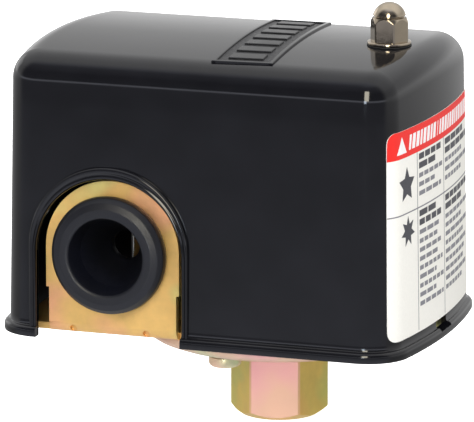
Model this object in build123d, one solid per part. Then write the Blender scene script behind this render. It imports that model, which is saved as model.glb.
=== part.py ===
from build123d import *
import math
import os

# A pressure switch: a steel base with a diaphragm connector below it, a contact
# block and two adjusting springs on top, and a deep cover held by one acorn nut.
# Origin: the port's axis, at the open end of the hexagon. +X runs along the base
# towards the range spring, +Z points up, millimetres throughout.

# ---------------------------------------------------------------- cover
COVER_X = -10.0          # the cover's centre lies left of the port's axis
COVER_LENGTH = 102.0
COVER_WIDTH = 67.4
END_BULGE = 3.4          # how far each end bows out
CORNER_R = 9.0
LIP_Z = 22.3
COVER_TOP = 91.35        # the crown's highest line
CROWN = 1.8              # the top's rise from its sides to its middle
TOP_R = 6.9
DRAFT = 1.07             # degrees
WALL = 1.2
LIP_FLARE = 1.4
LIP_HEIGHT = 2.5
ARCH_X = -31.3
ARCH_Z = 43.2
ARCH_R = 18.2
BEAD_Z = 44.5            # the bead is thicker over the arch than at its sides
BEAD_R = 20.0
BEAD_FACE = 34.4         # the bead's outer face, from the middle plane
NUT_HOLE_R = 3.2
STAMP_X = -1.7
STAMP_Y = -0.7
STAMP_TURN = 3.2         # degrees; the stamping sits slightly askew
STAMP_LENGTH = 53.5      # along Y
STAMP_WIDTH = 14.8
STAMP_RAISE = 0.45
STAMP_BORDER = 1.0
STAMP_BARS = 7
NOTCH_Y = -1.3
NOTCH_WIDTH = 7.8
NOTCH_HEIGHT = 2.8
LABEL_WIDTH = 61.0       # wide enough to wrap both corners
LABEL_Z0 = 26.6
LABEL_Z1 = 76.2
LABEL_THICK = 0.15

# ---------------------------------------------------------------- base
PLATE = 1.6
FLOOR_Z = 23.0
FLOOR_TOP = FLOOR_Z + PLATE
FLOOR_GAP = 2.0          # between the floor's ends and the cover's wall
FLOOR_HALF = 28.5
TONGUE_X = 38.7          # a locating tongue behind the cover's notch
TONGUE_HALF = 8.0
BEND_IN = 1.0
BEND_OUT = BEND_IN + PLATE
EAR_FACE = FLOOR_HALF + BEND_OUT
EAR_R = 16.7
BACK_EAR_R = 17.4
EAR_Z = 44.0
FOOT_STEP = 0.7          # the ears are narrower over their lowest part
FOOT_Z = 34.0
CONDUIT_Z = 43.3
CONDUIT_R = 11.1         # a half-inch conduit knock-out
RELIEF_R = 0.9
LUG_Y = 14.3
LUG_X0 = -21.0
LUG_X1 = -10.0
LUG_TOP = 38.4
TAB_Y = 24.5
GROUND_X = -46.0
GROUND_Y = 17.0
GROUND_R = 1.9

# ---------------------------------------------------------------- connector
HEX_FLATS = 20.6
HEX_TURN = 12.0          # degrees
DISH_BOTTOM = 17.2
DISH_FLOOR = 19.0
DISH_R = 32.3
DISH_FLAT_R = 21.3
NECK_R = 8.6
PORT_R = 5.7
PORT_DEPTH = 13.0
MOUTH_CHAMFER = 0.6
PILOT_R = 2.2
CAVITY_R = 15.0
DIAPHRAGM_R = 25.0
DIAPHRAGM_Z = 21.5
HOUSING_SCREW_R = 1.9
HOUSING_SCREW_CIRCLE = 19.5
HOUSING_SCREW_ANGLES = (0.0, 113.0, 247.0)

# ---------------------------------------------------------------- mechanism
PIVOT_X = -16.0
PIVOT_Z = 33.0
PIVOT_R = 2.0
RUNNING = 0.06           # radial clearance of a turning fit
LEVER_Z = 30.2
LEVER_THICK = 1.8
LEVER_TOP = LEVER_Z + LEVER_THICK
LEVER_HALF = 13.0
LEVER_X0 = -13.0
CHEEK_X0 = -20.0
CHEEK_X1 = -8.0
CHEEK_TOP = 36.6
LEVER_X1 = 36.0
FINGER_X = -2.5
PISTON_R = 7.9
PISTON_TOP = 30.0

RANGE_X = 27.2
RANGE_R = 3.175
RANGE_STEP_Z = 76.0
STUD_TIP_R = 2.4
STUD_TIP_Z = 99.0
RANGE_SEAT_Z = 60.0
RANGE_NUT_Z = 63.3
RANGE_NUT_TOP = 69.0
RANGE_NUT_FLATS = 14.3

DIFF_X = 13.2
DIFF_R = 2.0
DIFF_TOP = 58.0
DIFF_SEAT_Z = 47.0
DIFF_NUT_Z = 48.8
DIFF_NUT_TOP = 52.5
DIFF_NUT_FLATS = 7.0

# ---------------------------------------------------------------- contact block
BLOCK_X0 = -22.0
BLOCK_X1 = -8.0
BLOCK_Z = LUG_TOP + PLATE
BLOCK_DECK = 50.0
RIB_TOP = 56.0
RIB = 1.3
BLOCK_HALF = 19.0
BLOCK_SCREW_X = -15.5
BLOCK_SCREW_Y = 21.5
BLOCK_SCREW_R = 1.5
FOOT_HEIGHT = 4.0
PITCH = 9.5
TERMINAL_Y = [(i - 1.5) * PITCH for i in range(4)]
TERMINAL_THICK = 1.2
TERMINAL_WIDTH = 7.6
TERMINAL_SCREW_X = -16.0
TERMINAL_SCREW_R = 2.08
CLAMP_Z = BLOCK_DECK + TERMINAL_THICK + 0.9
CLAMP_THICK = 1.2
CLAMP_HALF = 3.7
SADDLE = 0.6             # depth of the clamp's turned-down edges
CONTACT_Z = 47.5
CONTACT_R = 1.9
CONTACT_THICK = 1.0
CARRIER_X = 2.0
CARRIER_Z = 42.0
CARRIER_PIN_R = 1.5
CARRIER_HALF = 15.5
CARRIER_BACK = -0.5
CARRIER_FRONT = 4.5
CARRIER_TOP = 52.0
CARRIER_FOOT = 39.0
NOSE_R = 1.6
BRACKET_X0 = -3.0
BRACKET_X1 = 7.0
ARM_Y = 17.3
ARM_THICK = 1.2
BRIDGE_THICK = 0.7
BRIDGE_X = -4.7

# ---------------------------------------------------------------- cover nut
WASHER_R = 5.3
NUT_RING_Z = COVER_TOP + 0.25
NUT_RING_TOP = NUT_RING_Z + 0.8
NUT_FLATS = 8.15
NUT_HEX_TOP = 98.0
NUT_TOP = 101.7
NUT_DOME_R = 4.05
NUT_RING_R = 5.2
NUT_TURN = 1.2           # degrees


# ---------------------------------------------------------------- helpers
def block(x0, x1, y0, y1, z0, z1):
    """A box given by its limits."""
    middle = Pos((x0 + x1) / 2, (y0 + y1) / 2, (z0 + z1) / 2)
    return middle * Box(x1 - x0, y1 - y0, z1 - z0)


def rod_z(x, y, r, z0, z1):
    return Pos(x, y, (z0 + z1) / 2) * Cylinder(r, z1 - z0)


def rod_y(x, z, r, y0, y1):
    return Pos(x, (y0 + y1) / 2, z) * Rotation(90, 0, 0) * Cylinder(r, y1 - y0)


def rod_x(y, z, r, x0, x1):
    return Pos((x0 + x1) / 2, y, z) * Rotation(0, 90, 0) * Cylinder(r, x1 - x0)


def hexagon_z(x, y, flats, z0, z1, turn=0.0):
    """A hexagonal prism on a vertical axis; turn is the angle of one corner."""
    sketch = RegularPolygon(flats / math.sqrt(3), 6, rotation=turn)
    return Pos(x, y, z0) * extrude(sketch, z1 - z0)


def revolved_z(points):
    """A solid of revolution about the Z axis from (radius, height) points."""
    return revolve(Plane.XZ * make_face(Polyline(*points, close=True)), Axis.Z)


def screw_down(x, y, r, head_r, head_z, head_height, tip_z):
    """A slotted pan-head screw with its head uppermost."""
    head = rod_z(x, y, head_r, head_z, head_z + head_height)
    head = fillet(head.edges().sort_by(Axis.Z)[-1], 0.35 * head_height)
    slot_top = head_z + head_height
    slot_floor = slot_top - 0.4 * head_height
    slot = block(x - head_r, x + head_r, y - 0.5, y + 0.5, slot_floor, slot_top)
    return head + rod_z(x, y, r, tip_z, head_z) - slot


def coil(x, y, mean_r, wire_r, z0, z1, turns):
    """A compression spring that stands between two heights."""
    rise = z1 - z0 - 2 * wire_r
    path = Helix(pitch=rise / turns, height=rise, radius=mean_r)
    section = Plane(origin=path @ 0, z_dir=path % 0) * Circle(wire_r)
    return Pos(x, y, z0 + wire_r) * sweep(section, path=path, is_frenet=True)


def both_sides(shape):
    """The shape and its mirror image across the middle plane."""
    return shape + mirror(shape, Plane.XZ)


def arch(radius, z_centre, z_bottom, y0, y1):
    """An upright arched prism over the conduit's axis."""
    column = block(ARCH_X - radius, ARCH_X + radius, y0, y1, z_bottom, z_centre)
    return column + rod_y(ARCH_X, z_centre, radius, y0, y1)


# ---------------------------------------------------------------- cover parts
def cover_outline(inset):
    """The cover's plan at the lip, drawn in by inset."""
    straight = COVER_LENGTH / 2 - END_BULGE - inset
    half = COVER_WIDTH / 2 - inset
    edges = Line((-straight, -half), (straight, -half))
    edges += ThreePointArc((straight, -half), (straight + END_BULGE, 0), (straight, half))
    edges += Line((straight, half), (-straight, half))
    edges += ThreePointArc((-straight, half), (-straight - END_BULGE, 0), (-straight, -half))
    face = make_face(edges)
    return fillet(face.vertices(), CORNER_R - inset)


def crown_tool(inset):
    """A long roller whose upper side is the cover's crowned top."""
    radius = (COVER_WIDTH / 2) ** 2 / (2 * CROWN)
    roller = Rotation(0, 90, 0) * Cylinder(radius - inset, 2 * COVER_LENGTH)
    return Pos(COVER_X, 0, COVER_TOP - radius) * roller


def cover_body(inset):
    """The cover's drafted, crowned and rounded block, drawn in by inset."""
    height = COVER_TOP - LIP_Z + 4
    sides = extrude(cover_outline(inset), height, taper=DRAFT)
    body = Pos(COVER_X, 0, LIP_Z) * sides
    body = body & crown_tool(inset)
    top = body.faces().sort_by(Axis.Z)[-1]
    return fillet(top.edges(), TOP_R - inset)


def cover_stamp():
    """Raised border and plain bars on the crowned top."""
    z0 = COVER_TOP - 3
    z1 = COVER_TOP + 3
    x0 = -STAMP_WIDTH / 2
    x1 = STAMP_WIDTH / 2
    y1 = STAMP_LENGTH / 2
    inside = STAMP_BORDER
    frame = block(x0, x1, -y1, y1, z0, z1)
    frame -= block(x0 + inside, x1 - inside, -y1 + inside, y1 - inside, z0, z1)
    step = (STAMP_LENGTH - 4 * inside) / STAMP_BARS
    for i in range(STAMP_BARS):
        y = (i - (STAMP_BARS - 1) / 2) * step
        half = 0.3 * step
        frame += block(x0 + 3.2, x1 - 3.2, y - half, y + half, z0, z1)
    frame = Pos(STAMP_X, STAMP_Y, 0) * Rotation(0, 0, STAMP_TURN) * frame
    return frame & crown_tool(-STAMP_RAISE)


def make_cover():
    lip = extrude(cover_outline(-LIP_FLARE), LIP_HEIGHT)
    lip = fillet(lip.edges().group_by(Axis.Z)[-1], 1.0)
    shell = cover_body(0) + Pos(COVER_X, 0, LIP_Z) * lip
    shell += cover_stamp()
    reach = 2 * COVER_WIDTH
    ring = arch(BEAD_R, BEAD_Z, LIP_Z, -BEAD_FACE, -BEAD_FACE + 3)
    ring -= arch(ARCH_R, ARCH_Z, LIP_Z, -BEAD_FACE, -BEAD_FACE + 3)
    front = ring.faces().sort_by(Axis.Y)[0]
    ring = fillet(front.edges(), 0.7)
    shell += both_sides(ring)
    shell -= cover_body(WALL)
    shell -= arch(ARCH_R, ARCH_Z, LIP_Z - 1, -reach, reach)
    shell -= rod_z(RANGE_X, 0, NUT_HOLE_R, COVER_TOP - 5, COVER_TOP + 5)
    end = COVER_X + COVER_LENGTH / 2
    notch_z = LIP_Z + LIP_HEIGHT - 0.8
    y0 = NOTCH_Y - NOTCH_WIDTH / 2
    shell -= block(end - 5, end + 5, y0, y0 + NOTCH_WIDTH, notch_z, notch_z + NOTCH_HEIGHT)
    return shell


def make_cover_label():
    skin = cover_body(-LABEL_THICK) - cover_body(0)
    height = LABEL_Z1 - LABEL_Z0
    sheet = extrude(Plane.YZ * RectangleRounded(LABEL_WIDTH, height, 3.0), 30)
    end = COVER_X + COVER_LENGTH / 2
    return skin & (Pos(end - 20, 0, (LABEL_Z0 + LABEL_Z1) / 2) * sheet)


def make_seal_washer():
    disc = rod_z(RANGE_X, 0, WASHER_R, COVER_TOP + 0.02, NUT_RING_Z)
    return disc - rod_z(RANGE_X, 0, STUD_TIP_R + RUNNING, COVER_TOP, NUT_RING_Z)


def make_cover_nut():
    """Acorn nut with a thin ring at its foot, a grooved neck and a blind bore."""
    shoulder = NUT_DOME_R
    nut = rod_z(RANGE_X, 0, NUT_RING_R, NUT_RING_Z, NUT_RING_TOP)
    nut = fillet(nut.edges().sort_by(Axis.Z)[-1], 0.3)
    collar = hexagon_z(RANGE_X, 0, NUT_FLATS, NUT_RING_TOP - 0.1, NUT_HEX_TOP, NUT_TURN)
    limit = revolved_z([
        (0, NUT_RING_Z), (NUT_RING_R, NUT_RING_Z), (NUT_RING_R, NUT_HEX_TOP - 1.0),
        (shoulder, NUT_HEX_TOP), (0, NUT_HEX_TOP),
    ])
    nut += collar & (Pos(RANGE_X, 0, 0) * limit)
    nut += Pos(RANGE_X, 0, NUT_TOP - NUT_DOME_R) * Sphere(NUT_DOME_R)
    groove = revolved_z([
        (NUT_DOME_R - 0.6, NUT_HEX_TOP + 0.3), (NUT_RING_R, NUT_HEX_TOP - 0.1),
        (NUT_RING_R, NUT_HEX_TOP + 0.8),
    ])
    nut -= Pos(RANGE_X, 0, 0) * groove
    return nut - rod_z(RANGE_X, 0, STUD_TIP_R + RUNNING, NUT_RING_Z, STUD_TIP_Z + 0.8)


# ---------------------------------------------------------------- base parts
def make_ear(radius):
    """The front ear with its bend, relief notches and conduit knock-out."""
    bend_z = FLOOR_Z + BEND_OUT
    back = -EAR_FACE + PLATE
    x0 = ARCH_X - radius
    x1 = ARCH_X + radius
    ear = arch(radius, EAR_Z, bend_z, -EAR_FACE, back)
    ear -= block(x0, x0 + FOOT_STEP, -EAR_FACE, back, bend_z, FOOT_Z)
    ear -= block(x1 - FOOT_STEP, x1, -EAR_FACE, back, bend_z, FOOT_Z)
    x0 += FOOT_STEP
    x1 -= FOOT_STEP
    bend = rod_x(-FLOOR_HALF, bend_z, BEND_OUT, x0, x1)
    bend -= rod_x(-FLOOR_HALF, bend_z, BEND_IN, x0, x1)
    bend &= block(x0, x1, -EAR_FACE, -FLOOR_HALF, FLOOR_Z, bend_z)
    ear += bend
    relief_z = FLOOR_Z + 1.2
    for relief_x in (ARCH_X - 0.6 * EAR_R, ARCH_X + 0.5 * EAR_R):
        ear -= rod_y(relief_x, relief_z, RELIEF_R, -EAR_FACE, -FLOOR_HALF - BEND_IN)
    return ear - rod_y(ARCH_X, CONDUIT_Z, CONDUIT_R, -EAR_FACE - 1, back + 1)


def make_lug():
    """The front lug: a bore for the lever's pin and a tab for the contact block."""
    lug = block(LUG_X0, LUG_X1, -LUG_Y - PLATE, -LUG_Y, FLOOR_TOP, LUG_TOP)
    lug += block(LUG_X0, LUG_X1, -TAB_Y, -LUG_Y, LUG_TOP, BLOCK_Z)
    lug -= rod_y(PIVOT_X, PIVOT_Z, PIVOT_R, -LUG_Y - PLATE, -LUG_Y)
    return lug - rod_z(BLOCK_SCREW_X, -BLOCK_SCREW_Y, BLOCK_SCREW_R, LUG_TOP, BLOCK_Z)


def make_base_frame():
    plan = cover_outline(WALL + FLOOR_GAP) & Rectangle(COVER_LENGTH, 2 * FLOOR_HALF)
    frame = Pos(COVER_X, 0, FLOOR_Z) * extrude(plan, PLATE)
    frame += block(0, TONGUE_X, -TONGUE_HALF, TONGUE_HALF, FLOOR_Z, FLOOR_TOP)
    frame += make_ear(EAR_R) + mirror(make_ear(BACK_EAR_R), Plane.XZ)
    frame += both_sides(make_lug())
    frame -= rod_z(0, 0, PISTON_R + 0.3, FLOOR_Z, FLOOR_TOP)
    frame -= rod_z(RANGE_X, 0, RANGE_R, FLOOR_Z, FLOOR_TOP)
    frame -= rod_z(DIFF_X, 0, DIFF_R, FLOOR_Z, FLOOR_TOP)
    for x, y in housing_screw_places():
        frame -= rod_z(x, y, HOUSING_SCREW_R, FLOOR_Z, FLOOR_TOP)
    for side in (-1, 1):
        frame -= rod_z(GROUND_X, GROUND_Y * side, GROUND_R, FLOOR_Z, FLOOR_TOP)
    return frame


def make_grommet():
    """Rubber conduit grommet: rounded flange, groove, and a cone that closes inwards."""
    back = EAR_FACE - PLATE
    flange = [
        (9.35, 36.3), (11.5, 36.3), (13.0, 35.7), (14.0, 34.5),
        (14.2, 33.2), (13.9, 31.9), (13.6, EAR_FACE),
    ]
    groove = [(CONDUIT_R, EAR_FACE), (CONDUIT_R, back), (12.4, back)]
    cone = [(11.6, back - 1.8), (6.2, 19.0), (3.5, 19.0), (3.5, 21.5), (8.0, 31.0), (8.8, 34.2)]
    body = revolved_z(flange + groove + cone)
    return Pos(ARCH_X, 0, CONDUIT_Z) * Rotation(90, 0, 0) * body


def make_diaphragm_housing():
    profile = [
        (NECK_R, DISH_BOTTOM), (DISH_FLAT_R, DISH_BOTTOM), (28.6, 19.1), (30.8, 19.95),
        (31.8, 20.6), (DISH_R, 21.4), (DISH_R, FLOOR_Z),
        (DIAPHRAGM_R, FLOOR_Z), (DIAPHRAGM_R, DIAPHRAGM_Z),
        (CAVITY_R, DIAPHRAGM_Z), (CAVITY_R, DISH_FLOOR), (NECK_R, DISH_FLOOR),
    ]
    dish = revolved_z(profile)
    for x, y in housing_screw_places():
        dish -= rod_z(x, y, HOUSING_SCREW_R, DISH_BOTTOM - 1, FLOOR_Z)
    return dish


def make_diaphragm():
    disc = rod_z(0, 0, DIAPHRAGM_R, DIAPHRAGM_Z, FLOOR_Z)
    for x, y in housing_screw_places():
        disc -= rod_z(x, y, HOUSING_SCREW_R, DIAPHRAGM_Z, FLOOR_Z)
    return disc


def make_port_fitting():
    """Hexagonal connector: taper-pipe bore below, staked neck above."""
    corner = HEX_FLATS / math.sqrt(3)
    chamfer_rise = (corner - HEX_FLATS / 2 + 0.9) * math.tan(math.radians(35))
    fitting = hexagon_z(0, 0, HEX_FLATS, 0, DISH_BOTTOM, HEX_TURN)
    cone = [
        (0, 0), (HEX_FLATS / 2 - 0.9, 0), (corner, chamfer_rise),
        (corner, DISH_BOTTOM), (0, DISH_BOTTOM),
    ]
    fitting &= revolved_z(cone)
    fitting += rod_z(0, 0, NECK_R, DISH_BOTTOM, DISH_FLOOR)
    fitting += rod_z(0, 0, NECK_R + 1.4, DISH_FLOOR, DISH_FLOOR + 0.6)
    fitting -= rod_z(0, 0, PORT_R, 0, PORT_DEPTH)
    fitting -= rod_z(0, 0, PILOT_R, PORT_DEPTH, DISH_FLOOR + 0.6)
    mouth = [(0, 0), (PORT_R + MOUTH_CHAMFER, 0), (PORT_R, MOUTH_CHAMFER), (0, MOUTH_CHAMFER)]
    return fitting - revolved_z(mouth)


def housing_screw_places():
    places = []
    for degrees in HOUSING_SCREW_ANGLES:
        angle = math.radians(degrees)
        x = HOUSING_SCREW_CIRCLE * math.cos(angle)
        y = HOUSING_SCREW_CIRCLE * math.sin(angle)
        places.append((x, y))
    return places


def make_housing_screws():
    """Three pan-head screws driven up from below, flush with the floor's top."""
    screws = []
    bottom = DISH_BOTTOM - 2.4
    for x, y in housing_screw_places():
        head = rod_z(x, y, 3.9, bottom, DISH_BOTTOM)
        head = fillet(head.edges().sort_by(Axis.Z)[0], 1.1)
        slot = block(x - 4, x + 4, y - 0.5, y + 0.5, bottom, bottom + 0.9)
        screws.append(head + rod_z(x, y, HOUSING_SCREW_R, DISH_BOTTOM, FLOOR_TOP) - slot)
    return Compound(children=screws)


def make_ground_screw(side):
    """A washer-head hexagon screw with a slot, on the floor of the wiring space."""
    y = GROUND_Y * side
    seat = FLOOR_TOP + 1.0
    top = FLOOR_TOP + 3.4
    head = hexagon_z(GROUND_X, y, 8.0, seat, top, 10)
    head += rod_z(GROUND_X, y, 4.6, FLOOR_TOP, seat)
    head += rod_z(GROUND_X, y, GROUND_R, FLOOR_Z - 2.6, FLOOR_TOP)
    return head - block(GROUND_X - 4, GROUND_X + 4, y - 0.5, y + 0.5, top - 1.0, top)


# ---------------------------------------------------------------- lever parts
def make_lever():
    plate = block(LEVER_X0, LEVER_X1, -LEVER_HALF, LEVER_HALF, LEVER_Z, LEVER_TOP)
    corners = plate.edges().filter_by(Axis.Z).group_by(Axis.X)[-1]
    plate = fillet(corners, 6.0)
    cheek = block(CHEEK_X0, CHEEK_X1, -LEVER_HALF, -LEVER_HALF + 1.5, LEVER_Z, CHEEK_TOP)
    cheek -= rod_y(PIVOT_X, PIVOT_Z, PIVOT_R + RUNNING, -LEVER_HALF, -LEVER_HALF + 1.5)
    plate += both_sides(cheek)
    plate += block(FINGER_X - 0.8, FINGER_X + 0.8, -3, 3, LEVER_TOP, 38.7)
    plate -= rod_z(RANGE_X, 0, RANGE_R + 1.5, LEVER_Z, LEVER_TOP)
    plate -= rod_z(DIFF_X, 0, DIFF_R + 1.1, LEVER_Z, LEVER_TOP)
    return plate


def make_piston():
    body = rod_z(0, 0, PISTON_R, FLOOR_Z + 0.1, FLOOR_TOP + 1.6)
    body += rod_z(0, 0, 4.0, FLOOR_TOP + 1.6, PISTON_TOP)
    return fillet(body.edges().sort_by(Axis.Z)[-1], 1.2)


def make_lever_pin():
    reach = LUG_Y + PLATE + 1.4
    return rod_y(PIVOT_X, PIVOT_Z, PIVOT_R, -reach, reach)


def make_range_stud():
    stud = rod_z(RANGE_X, 0, RANGE_R, FLOOR_Z, RANGE_STEP_Z)
    stud += rod_z(RANGE_X, 0, STUD_TIP_R, RANGE_STEP_Z, STUD_TIP_Z)
    return stud + hexagon_z(RANGE_X, 0, 10.0, FLOOR_TOP, FLOOR_TOP + 2.6, 30)


def make_differential_stud():
    stud = rod_z(DIFF_X, 0, DIFF_R, FLOOR_Z, DIFF_TOP)
    return stud + hexagon_z(DIFF_X, 0, 7.0, FLOOR_TOP, FLOOR_TOP + 2.0, 30)


def make_seat(x, bore, flange_r, hub_r, z0, z1):
    """A turned spring seat: flange above, centring hub below."""
    seat = rod_z(x, 0, flange_r, z0, z1)
    seat += rod_z(x, 0, hub_r, z0 - 1.6, z0)
    return seat - rod_z(x, 0, bore, z0 - 1.6, z1)


def make_nut(x, bore, flats, z0, z1):
    nut = hexagon_z(x, 0, flats, z0, z1, 30)
    corner = flats / math.sqrt(3)
    inset = corner - flats / 2
    rise = 0.5 * inset
    cone = [
        (0, z0), (flats / 2, z0), (corner, z0 + rise),
        (corner, z1 - rise), (flats / 2, z1), (0, z1),
    ]
    return (nut & (Pos(x, 0, 0) * revolved_z(cone))) - rod_z(x, 0, bore, z0, z1)


# ---------------------------------------------------------------- contact parts
def make_terminal_block():
    body = block(BLOCK_X0, BLOCK_X1, -BLOCK_HALF, BLOCK_HALF, BLOCK_Z, BLOCK_DECK)
    for i in range(5):
        y = (i - 2) * PITCH
        body += block(BLOCK_X0, BLOCK_X1, y - RIB / 2, y + RIB / 2, BLOCK_DECK, RIB_TOP)
    foot_top = BLOCK_Z + FOOT_HEIGHT
    foot = block(LUG_X0, LUG_X1, -TAB_Y, -BLOCK_HALF, BLOCK_Z, foot_top)
    foot -= rod_z(BLOCK_SCREW_X, -BLOCK_SCREW_Y, BLOCK_SCREW_R + 0.05, BLOCK_Z, foot_top)
    body += both_sides(foot)
    hole_r = TERMINAL_SCREW_R + 0.4
    for y in TERMINAL_Y:
        body -= rod_z(TERMINAL_SCREW_X, y, hole_r, BLOCK_DECK - 8, BLOCK_DECK)
    return body


def make_block_screws():
    screws = []
    head_z = BLOCK_Z + FOOT_HEIGHT
    for side in (-1, 1):
        y = BLOCK_SCREW_Y * side
        screws.append(screw_down(BLOCK_SCREW_X, y, BLOCK_SCREW_R, 2.4, head_z, 1.8, LUG_TOP - 1.2))
    return Compound(children=screws)


def make_terminal_plate(y):
    half = TERMINAL_WIDTH / 2
    top = BLOCK_DECK + TERMINAL_THICK
    right = BLOCK_X1 + TERMINAL_THICK
    plate = block(BLOCK_X0 + 0.6, right, y - half, y + half, BLOCK_DECK, top)
    plate += block(BLOCK_X1, right, y - half, y + half, CONTACT_Z - 3, BLOCK_DECK)
    return plate - rod_z(TERMINAL_SCREW_X, y, TERMINAL_SCREW_R + RUNNING, BLOCK_DECK, top)


def make_fixed_contacts():
    x0 = BLOCK_X1 + TERMINAL_THICK
    x1 = x0 + CONTACT_THICK
    return Compound(children=[rod_x(y, CONTACT_Z, CONTACT_R, x0, x1) for y in TERMINAL_Y])


def make_terminal_clamp(y):
    """A saddle washer with turned-down edges, just above its plate."""
    z1 = CLAMP_Z + CLAMP_THICK
    x0 = TERMINAL_SCREW_X - CLAMP_HALF
    x1 = TERMINAL_SCREW_X + CLAMP_HALF
    y0 = y - CLAMP_HALF
    y1 = y + CLAMP_HALF
    clamp = block(x0, x1, y0, y1, CLAMP_Z, z1)
    clamp += block(x0, x0 + 1.0, y0, y1, CLAMP_Z - SADDLE, CLAMP_Z)
    clamp += block(x1 - 1.0, x1, y0, y1, CLAMP_Z - SADDLE, CLAMP_Z)
    return clamp - rod_z(TERMINAL_SCREW_X, y, TERMINAL_SCREW_R + RUNNING, CLAMP_Z - 1, z1)


def make_terminal_screw(y):
    head_z = CLAMP_Z + CLAMP_THICK + 0.1
    tip_z = BLOCK_DECK - 6
    return screw_down(TERMINAL_SCREW_X, y, TERMINAL_SCREW_R, 3.6, head_z, 2.2, tip_z)


def make_carrier_bracket():
    """Two upright arms with outward feet that hold the carrier's pin."""
    outer = ARM_Y + ARM_THICK
    arm = block(BRACKET_X0, BRACKET_X1, -outer, -ARM_Y, FLOOR_TOP, 45.5)
    arm += block(BRACKET_X0, BRACKET_X1, -TAB_Y, -ARM_Y, FLOOR_TOP, FLOOR_TOP + ARM_THICK)
    arm -= rod_y(CARRIER_X, CARRIER_Z, CARRIER_PIN_R, -outer, -ARM_Y)
    return Compound(children=[arm, mirror(arm, Plane.XZ)])


def make_carrier_pin():
    reach = ARM_Y + ARM_THICK + 1.0
    return rod_y(CARRIER_X, CARRIER_Z, CARRIER_PIN_R, -reach, reach)


def make_contact_carrier():
    """A moulded beam on the pin, with two noses and a toe over the lever's finger."""
    body = block(CARRIER_BACK, CARRIER_FRONT, -CARRIER_HALF, CARRIER_HALF, CARRIER_FOOT, CARRIER_TOP)
    body += block(-4.5, CARRIER_BACK, -4.0, 4.0, CARRIER_FOOT, 41.6)
    body = fillet(body.edges().filter_by(Axis.Y).group_by(Axis.Z)[-1], 1.0)
    for y in (-PITCH, PITCH):
        body += rod_x(y, CONTACT_Z, NOSE_R, -2.6, CARRIER_BACK)
    bore = CARRIER_PIN_R + RUNNING
    return body - rod_y(CARRIER_X, CARRIER_Z, bore, -CARRIER_HALF, CARRIER_HALF)


def make_contact_bridge(side):
    """A spring-copper strip that carries one pair of moving contacts."""
    y = PITCH * side
    half = PITCH / 2 + 2.6
    x1 = BRIDGE_X + BRIDGE_THICK
    strip = block(BRIDGE_X, x1, y - half, y + half, CONTACT_Z - 2.4, CONTACT_Z + 2.4)
    return fillet(strip.edges().filter_by(Axis.X), 1.5)


def make_moving_contacts():
    x0 = BRIDGE_X - CONTACT_THICK
    return Compound(children=[rod_x(y, CONTACT_Z, CONTACT_R, x0, BRIDGE_X) for y in TERMINAL_Y])


def make_contact_springs():
    """A short spring behind each bridge, about the carrier's nose."""
    x0 = BRIDGE_X + BRIDGE_THICK
    springs = []
    for y in (-PITCH, PITCH):
        spring = coil(0, 0, 2.2, 0.25, 0, CARRIER_BACK - x0, 4)
        springs.append(Pos(x0, y, CONTACT_Z) * Rotation(0, 90, 0) * spring)
    return Compound(children=springs)


def make_snap_spring():
    """A torsion spring wound round the carrier's pin, one leg on the carrier."""
    coil_part = coil(0, 0, 2.3, 0.3, 0, ARM_Y - CARRIER_HALF - 0.3, 2)
    return Pos(CARRIER_X, -CARRIER_HALF, CARRIER_Z) * Rotation(90, 0, 0) * coil_part


def main():
    os.makedirs("parts", exist_ok=True)
    front = make_grommet()
    range_bore = RANGE_R + RUNNING
    differential_bore = DIFF_R + RUNNING
    range_seat_top = RANGE_NUT_Z - 0.1
    differential_seat_top = DIFF_NUT_Z - 0.1
    parts = {
        "cover": make_cover(),
        "cover_label": make_cover_label(),
        "cover_seal_washer": make_seal_washer(),
        "cover_nut": make_cover_nut(),
        "base_frame": make_base_frame(),
        "grommet_front": front,
        "grommet_back": mirror(front, Plane.XZ),
        "diaphragm_housing": make_diaphragm_housing(),
        "diaphragm": make_diaphragm(),
        "port_fitting": make_port_fitting(),
        "housing_screws": make_housing_screws(),
        "ground_screw_front": make_ground_screw(-1),
        "ground_screw_back": make_ground_screw(1),
        "operating_lever": make_lever(),
        "actuator_piston": make_piston(),
        "lever_pivot_pin": make_lever_pin(),
        "range_stud": make_range_stud(),
        "range_spring": coil(RANGE_X, 0, 7.6, 1.2, LEVER_TOP, RANGE_SEAT_Z, 6),
        "range_spring_seat": make_seat(RANGE_X, range_bore, 9.0, 5.8, RANGE_SEAT_Z, range_seat_top),
        "range_nut": make_nut(RANGE_X, range_bore, RANGE_NUT_FLATS, RANGE_NUT_Z, RANGE_NUT_TOP),
        "differential_stud": make_differential_stud(),
        "differential_spring": coil(DIFF_X, 0, 4.1, 0.55, LEVER_TOP, DIFF_SEAT_Z, 8),
        "differential_seat": make_seat(
            DIFF_X, differential_bore, 4.7, 3.2, DIFF_SEAT_Z, differential_seat_top),
        "differential_nut": make_nut(
            DIFF_X, differential_bore, DIFF_NUT_FLATS, DIFF_NUT_Z, DIFF_NUT_TOP),
        "terminal_block": make_terminal_block(),
        "block_screws": make_block_screws(),
        "fixed_contacts": make_fixed_contacts(),
        "carrier_bracket": make_carrier_bracket(),
        "carrier_pivot_pin": make_carrier_pin(),
        "contact_carrier": make_contact_carrier(),
        "contact_bridge_front": make_contact_bridge(-1),
        "contact_bridge_back": make_contact_bridge(1),
        "moving_contacts": make_moving_contacts(),
        "contact_springs": make_contact_springs(),
        "snap_spring": make_snap_spring(),
    }
    for number, y in enumerate(TERMINAL_Y, start=1):
        parts[f"terminal_plate_{number}"] = make_terminal_plate(y)
        parts[f"terminal_clamp_{number}"] = make_terminal_clamp(y)
        parts[f"terminal_screw_{number}"] = make_terminal_screw(y)
    for name, shape in parts.items():
        export_step(shape, f"parts/{name}.step")


main()
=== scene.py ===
import math

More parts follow.
